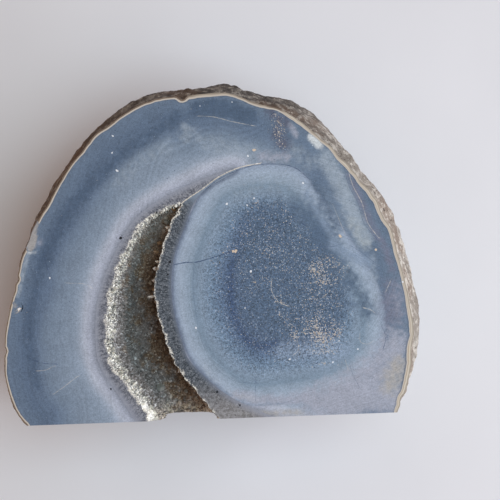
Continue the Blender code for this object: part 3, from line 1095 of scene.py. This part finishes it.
def modelCrystal():
    # one crystal of radius 1 and height 1: a prism whose top is drawn in to a point
    clearSelection()
    shaft = crust["shaft"]
    bpy.ops.mesh.primitive_cylinder_add(
        vertices=crust["sides"], radius=1.0, depth=shaft, location=(0, 0, shaft / 2),
    )
    piece = bpy.context.object
    bpy.ops.object.transform_apply(location=True, rotation=False, scale=False)
    bpy.ops.object.mode_set(mode="EDIT")
    mesh = bmesh.from_edit_mesh(piece.data)
    for face in mesh.faces:
        face.select_set(face.normal.z > 0.9)
    bmesh.update_edit_mesh(piece.data)
    bpy.ops.mesh.extrude_region_move(TRANSFORM_OT_translate={"value": (0.0, 0.0, 1.0 - shaft)})
    bpy.ops.mesh.merge(type="CENTER")
    bpy.ops.mesh.select_all(action="SELECT")
    bpy.ops.mesh.normals_make_consistent(inside=False)
    bpy.ops.object.mode_set(mode="OBJECT")
    spots = pointsOf(piece)
    faces = [tuple(face.vertices) for face in piece.data.polygons]
    bpy.data.objects.remove(piece)
    return spots, faces


def middleLine(lengths, form):
    # halfway between the two rims
    left, right = (sectionPoints(lengths, np.full(len(lengths), share), form) for share in (0.0, 1.0))
    return (left + right) / 2


def hollowPoints(lengths, shares):
    # points of the hollow's wall, the way out of the rock at each, and the area that a step covers
    step = 0.002
    here = sectionPoints(lengths, shares, "In")
    ahead = sectionPoints(np.minimum(lengths + step, 1.0), shares, "In")
    behind = sectionPoints(np.maximum(lengths - step, 0.0), shares, "In")
    right = sectionPoints(lengths, np.minimum(shares + step, 1.0), "In")
    left = sectionPoints(lengths, np.maximum(shares - step, 0.0), "In")
    normal = np.cross(ahead - behind, right - left)
    area = np.linalg.norm(normal, axis=1)
    normal /= np.maximum(area, 1e-9)[:, None]
    mouth = middleLine(lengths, "In")
    return here, normal * np.sign(np.sum(normal * (mouth - here), axis=1))[:, None], area


def acrossHollow(points):
    # 0 at the hollow's left rim, 1 at its right rim
    lengths = np.linspace(0.0, 1.0, crust["rimPoints"])
    away = []
    for share in (0.0, 1.0):
        rim = sectionPoints(lengths, np.full(len(lengths), share), "In")
        away.append(np.min(np.linalg.norm(points[:, None, :2] - rim[None, :, :2], axis=2), axis=1))
    return away[0] / (away[0] + away[1])


def placeCrystal(form, base, up, radius, height, sunk, chance):
    up = Vector(up).normalized()
    turn = up.to_track_quat("Z", "Y").to_matrix() @ Matrix.Rotation(chance.uniform(0, 1), 3, "Z")
    shape = form * np.array((radius, radius * chance.uniform(crust["flatness"], 1.0), height))
    placed = shape @ np.array(turn).T + base - np.array(up) * sunk * height
    placed[:, 2] = np.minimum(placed[:, 2], faceZ + crust["standOut"])
    placed[:, 1] = np.maximum(placed[:, 1], baseY - crust["standOut"])
    return placed


def growCrystals(name, bed, form, faces, showpieces=()):
    # the one crystal, repeated over part of the hollow's wall as one joined mesh
    chance = np.random.default_rng(bed["seed"])
    tries = bed["count"] * crust["tries"]
    lengths, shares = chance.random(tries), chance.uniform(*bed["span"], tries)
    here, normal, area = hollowPoints(lengths, shares)
    keep = chance.random(tries) < area / np.quantile(area, 0.98)
    keep &= (here[:, 1] > baseY - 0.3) & (area > 1e-9)
    rows = np.flatnonzero(keep)[:bed["count"]]
    bases = roughWall(here[rows])
    spots, tones = [], []
    for base, up in zip(bases, normal[rows]):
        large = chance.random() < bed["large"]
        radius = chance.uniform(*bed["largeRadius" if large else "radius"])
        height = radius * chance.uniform(*bed["stretch"])
        up = up + chance.normal(0.0, bed["tilt"] * 0.6, 3)
        spots.append(placeCrystal(form, base, up, radius, height, bed["sunk"], chance))
        tones.append(chance.random())
    for (x, y), share, radius, height, tone in showpieces:
        target = np.array(facePoint(x, y))
        lengths = np.linspace(0.0, 1.0, crust["alongPoints"])
        wall, up, _ = hollowPoints(lengths, np.full(len(lengths), share))
        nearest = np.argmin(np.linalg.norm(wall[:, :2] - target, axis=1))
        base = np.array((*target, wall[nearest, 2]))
        up = up[nearest] + (0, 0, crust["singleLift"])
        spots.append(placeCrystal(form, base, up, radius, height, crust["singleSunk"], chance))
        tones.append(tone)
    polygons = [
        tuple(corner + i * len(form) for corner in face) for i in range(len(spots)) for face in faces
    ]
    mesh = bpy.data.meshes.new(name)
    mesh.from_pydata(np.concatenate(spots) * mm, [], polygons)
    piece = bpy.data.objects.new(name, mesh)
    bpy.context.scene.collection.objects.link(piece)
    keepValues(piece, "crystalTone", np.repeat(tones, len(form)))
    # single crystals are marked by a share of 2, past the right rim's 1
    shares = np.concatenate([acrossHollow(bases), np.full(len(showpieces), 2.0)])
    keepValues(piece, "wallShare", np.repeat(shares, len(form)))
    return piece


def buildCrust():
    shell = troughPiece("quartzCrust", *crust["wallNet"], "Out", 0.0, topRows=crust["topRows"])
    sawBase(shell)
    hollow = troughPiece("hollowCut", *crust["hollowNet"], "In", pocket["clear"], rough=roughWall)
    hollowTree = treeOf(hollow)
    outerTree = treeOf(shell, lambda face: abs(face.normal.z) < 0.999 and abs(face.normal.y) < 0.999)
    cutAway(shell, hollow)
    netSawnBase(shell, crust["baseNet"])
    spots = pointsOf(shell) / mm
    inside = distancesTo(hollowTree, spots)
    keepValues(shell, "outDist", distancesTo(outerTree, spots))
    keepValues(shell, "inDist", inside)
    keepValues(shell, "wallShare", acrossHollow(spots))
    middle = middleLine(np.linspace(0.0, 1.0, crust["alongPoints"]), "Out")
    runs = np.concatenate([[0.0], np.cumsum(np.linalg.norm(np.diff(middle, axis=0), axis=1))])
    away = np.linalg.norm(spots[:, None, :2] - middle[None, :, :2], axis=2)
    keepValues(shell, "alongCrust", runs[np.argmin(away, axis=1)])
    flat = photoPlaces(spots)
    lineValues(shell, "paleLine", flat, paleLines)
    lineValues(shell, "darkLine", flat, darkLines)
    shell.data.materials.clear()
    shell.data.materials.append(sectionMaterial())
    shell.data.materials.append(druseMaterial("druseWall", False))
    for face in shell.data.polygons:
        face.material_index = 1 if max(inside[corner] for corner in face.vertices) < crust["skin"] else 0
    print("crust wall made, faces of each material:", materialCounts(shell))
    form, faces = modelCrystal()
    growth = druseMaterial("druseCrystals", True)
    pieces = [shell]
    for name, bed in crust["beds"].items():
        extra = crust["showpieces"] if name == "floorCrystals" else ()
        piece = growCrystals(name, bed, form, faces, extra)
        piece.data.materials.append(growth)
        pieces.append(piece)
        print("crystals grown:", name, len(piece.data.polygons), "faces")
    return pieces


def sectionMaterial():
    material, shader, link = newMaterial("quartzSection", 0.4, 0.35)
    inside, outside, along = (valueOf(link, name) for name in ("inDist", "outDist", "alongCrust"))
    coarse, mid, fine = grain(link, 2.6, 3.0), grain(link, 0.8, 3.0), grain(link, 0.3, 2.0)
    # fibres run across the crust, from the stone to the hollow
    across = link.node("ShaderNodeCombineXYZ", {}, {0: along / 0.42, 1: outside / 2.4})
    fibre = link.node("ShaderNodeTexNoise", {}, {"Vector": across, "Scale": 1.0, "Detail": 3.0})
    left, height = acrossOf(link).rise(-13.0 * mm, -19.0 * mm), upOf(link)
    # over the tip, the cream seam parts pale quartz from dark
    tip = height.rise(3.0 * mm, 9.0 * mm) * valueOf(link, "paleLineSide").rise(0.3, -0.5)
    bright = (left + tip).rise(0.0, 1.0)
    pale = bright.mix(tint(100, 106, 114), tint(134, 136, 145))
    dark = bright.mix(tint(58, 63, 70), tint(92, 95, 105))
    colour = (fibre * 0.45 + mid * 0.35 + fine * 0.20).rise(0.43, 0.57).mix(dark, pale)
    base = height.rise(-31.0 * mm, -42.0 * mm)
    sandy = mid.rise(0.4, 0.6).mix(tint(128, 125, 125), tint(152, 150, 152))
    colour = (base * (1.0 - left) * 0.8).mix(colour, sandy)
    colour = (fine.rise(0.60, 0.70) * 0.45).over(colour, 178, 180, 188)
    colour = (fine.rise(0.41, 0.31) * 0.6).over(colour, 42, 44, 54)
    rim = base.mix(bright.mix(tint(104, 113, 128), tint(148, 153, 167)), tint(146, 150, 164))
    colour = ((outside + mid * 0.9).rise(1.6 + bright * 0.5 + base * 0.8, 0.3) * 0.85).mix(colour, rim)
    # above the hollow the dark side runs out into the lobe's own blue
    runOut = height.rise(10.5 * mm, 14.0 * mm) * valueOf(link, "paleLineSide").rise(-0.2, 0.3)
    colour = (runOut * 0.85).over(colour, 130, 144, 162)
    # a broken white fringe runs along the hollow
    band = inside + fibre * 1.3 + (coarse - 0.5) * (2.6 - left * 1.0)
    broken = (fine * 0.5 + mid * 0.5).rise(0.42 - left * 0.04, 0.53)
    fringe = band.rise(1.25 + left * 0.1, 0.65 + left * 0.1) * broken
    colour = fringe.mix(colour, fine.rise(0.35, 0.6).mix(tint(176, 173, 168), tint(226, 223, 214)))
    colour = drawLines(link, colour, mid - 0.5, fine - 0.5)
    colour = drawSpots(link, colour, ["dark"], 1.0 + (fine - 0.5) * 3.0)
    # painted shade: faces more than half a millimetre below the face get a mottled brown-grey shade
    shade = heightOf(link).rise((faceZ - 0.5) * mm, (faceZ - 4.0) * mm)
    colour = (shade * mid.rise(0.4, 0.6) * 0.5).over(colour, 120, 112, 104)
    plug(link, shader, "Base Color", colour)
    plug(link, shader, "Roughness", 0.3 + fine * 0.3)
    plug(link, shader, "Normal", bumped(link, fibre * 0.4 + fine * 0.6, 0.35, 0.2))
    return material


def druseMaterial(name, crystals):
    # white on the left wall, partly painted light; grey on the floor; brown towards the right, darker as
    # painted shade
    material, shader, link = newMaterial(name, 0.32 if crystals else 0.5, 0.45)
    coarse, mid, fine = grain(link, 4.0, 3.0), grain(link, 1.1, 3.0), grain(link, 0.4, 2.0)
    tone = valueOf(link, "crystalTone") if crystals else fine.rise(0.3, 0.7)
    side = valueOf(link, "wallShare")
    depth = (faceZ * mm - heightOf(link)) / mm
    height = upOf(link)
    grey = tone.ramp(1.0, [
        (0.0, (106, 103, 101)), (0.5, (131, 128, 127)), (0.85, (151, 148, 147)),
        (1.0, (198, 200, 202)),
    ])
    brown = tone.ramp(1.0, [
        (0.0, (98, 83, 69)), (0.5, (124, 107, 91)), (0.85, (146, 130, 113)),
        (1.0, (190, 180, 165)),
    ])
    white = tone.ramp(1.0, [
        (0.0, (108, 108, 110)), (0.3, (144, 144, 142)), (0.65, (190, 188, 180)),
        (1.0, (250, 248, 238)),
    ])
    warm = (coarse - 0.5) * 2.2 + (mid - 0.5) * 0.8 + side + height.rise(-16.0 * mm, 2.0 * mm) * 0.2
    colour = warm.rise(0.38, 0.86).mix(grey, brown)
    # painted shade: the right wall under the rim, turned away from the window light, is made dark brown
    shaded = (side + (mid - 0.5) * 0.5).rise(0.66, 0.94) * height.rise(5.0 * mm, -6.0 * mm)
    colour = (shaded * 0.8).mix(colour, tone.rise(0.0, 1.0).mix(tint(66, 51, 40), tint(96, 78, 62)))
    # painted light: the upper end of the hollow's floor is made lighter, where the light reaches it
    colour = (height.rise(-6.0 * mm, 5.0 * mm) * 0.3).over(colour, 152, 144, 134)
    base = height.rise(-38.0 * mm, -42.0 * mm)
    colour = (base * tone.rise(0.3, 0.6) * 0.7).over(colour, 196, 184, 166)
    lip = (side + (mid - 0.5) * 0.2).rise(0.86, 0.96) * (1.0 - shaded * 0.6)
    colour = (lip * tone.rise(0.45, 0.65) * 0.85).over(colour, 206, 196, 180)
    # the white band at the top of the left wall is partly the crystals' own white and partly painted light,
    # where the window light falls on that wall
    reach = 2.5 - side * 2.9 + (mid - 0.5) * 4.0 + (coarse - 0.5) * 2.0 - depth
    bench = reach.rise(-0.5, 0.5)
    colour = bench.mix(colour, white)
    colour = (bench * height.rise(-35.0 * mm, -40.0 * mm) * 0.5).over(colour, 252, 250, 242)
    if crystals:
        pieces = tone.ramp(1.0, [
            (0.0, (112, 86, 64)), (0.2, (150, 124, 98)), (0.4, (124, 116, 104)),
            (0.62, (152, 154, 150)), (0.75, (156, 166, 182)), (1.0, (250, 248, 240)),
        ])
        colour = side.rise(1.4, 1.6).mix(colour, pieces)
    plug(link, shader, "Base Color", colour)
    plug(link, shader, "Normal", bumped(link, fine, 0.3, 0.1))
    return material


def finishScene():
    clearSelection()
    stonePiece, rindTree = buildStone()
    print("stone shaped:", len(stonePiece.data.polygons), "faces")
    patternValues(stonePiece, rindTree)
    smoothBelow(stonePiece, stone["smoothAngle"])
    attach(stonePiece, "root")
    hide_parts("agate")
    print("stone finished, faces of each material:", materialCounts(stonePiece))
    pieces = buildCrust()
    for piece in pieces:
        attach(piece, "root")
    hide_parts("crystal_crust")
    print("crust finished:", len(pieces), "pieces")


buildCamera()
buildStudio()
finishScene()
